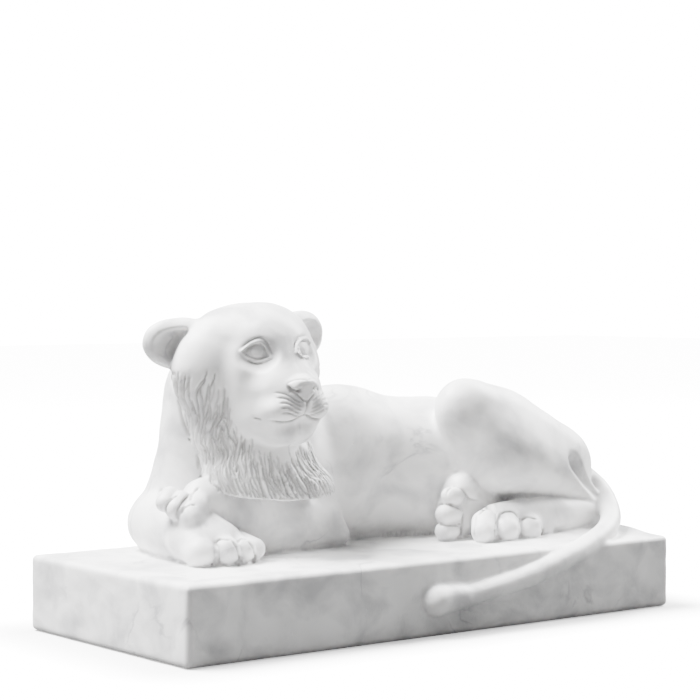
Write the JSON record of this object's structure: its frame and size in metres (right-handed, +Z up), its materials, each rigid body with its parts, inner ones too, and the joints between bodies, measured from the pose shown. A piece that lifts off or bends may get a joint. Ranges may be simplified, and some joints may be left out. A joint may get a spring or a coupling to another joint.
{
  "type": "reclining marble lion sculpture",
  "caption": "Reclining lion with its head turned aside and forepaws crossed, carved in one with its rectangular slab in white marble; the tail falls over the slab's front edge.",
  "frame": {"origin": "centre of the slab's flat underside", "axes": "+X along the slab from the lion's chest to its rump, +Y from the side the lion faces to its back, +Z up"},
  "size_m": [0.4509, 0.2178, 0.238],
  "materials": {
    "marble": "honed white marble with faint grey mottling, satin"
  },
  "bodies": {
    "root": {"lion_on_slab": "marble"}
  },
  "joints": []
}
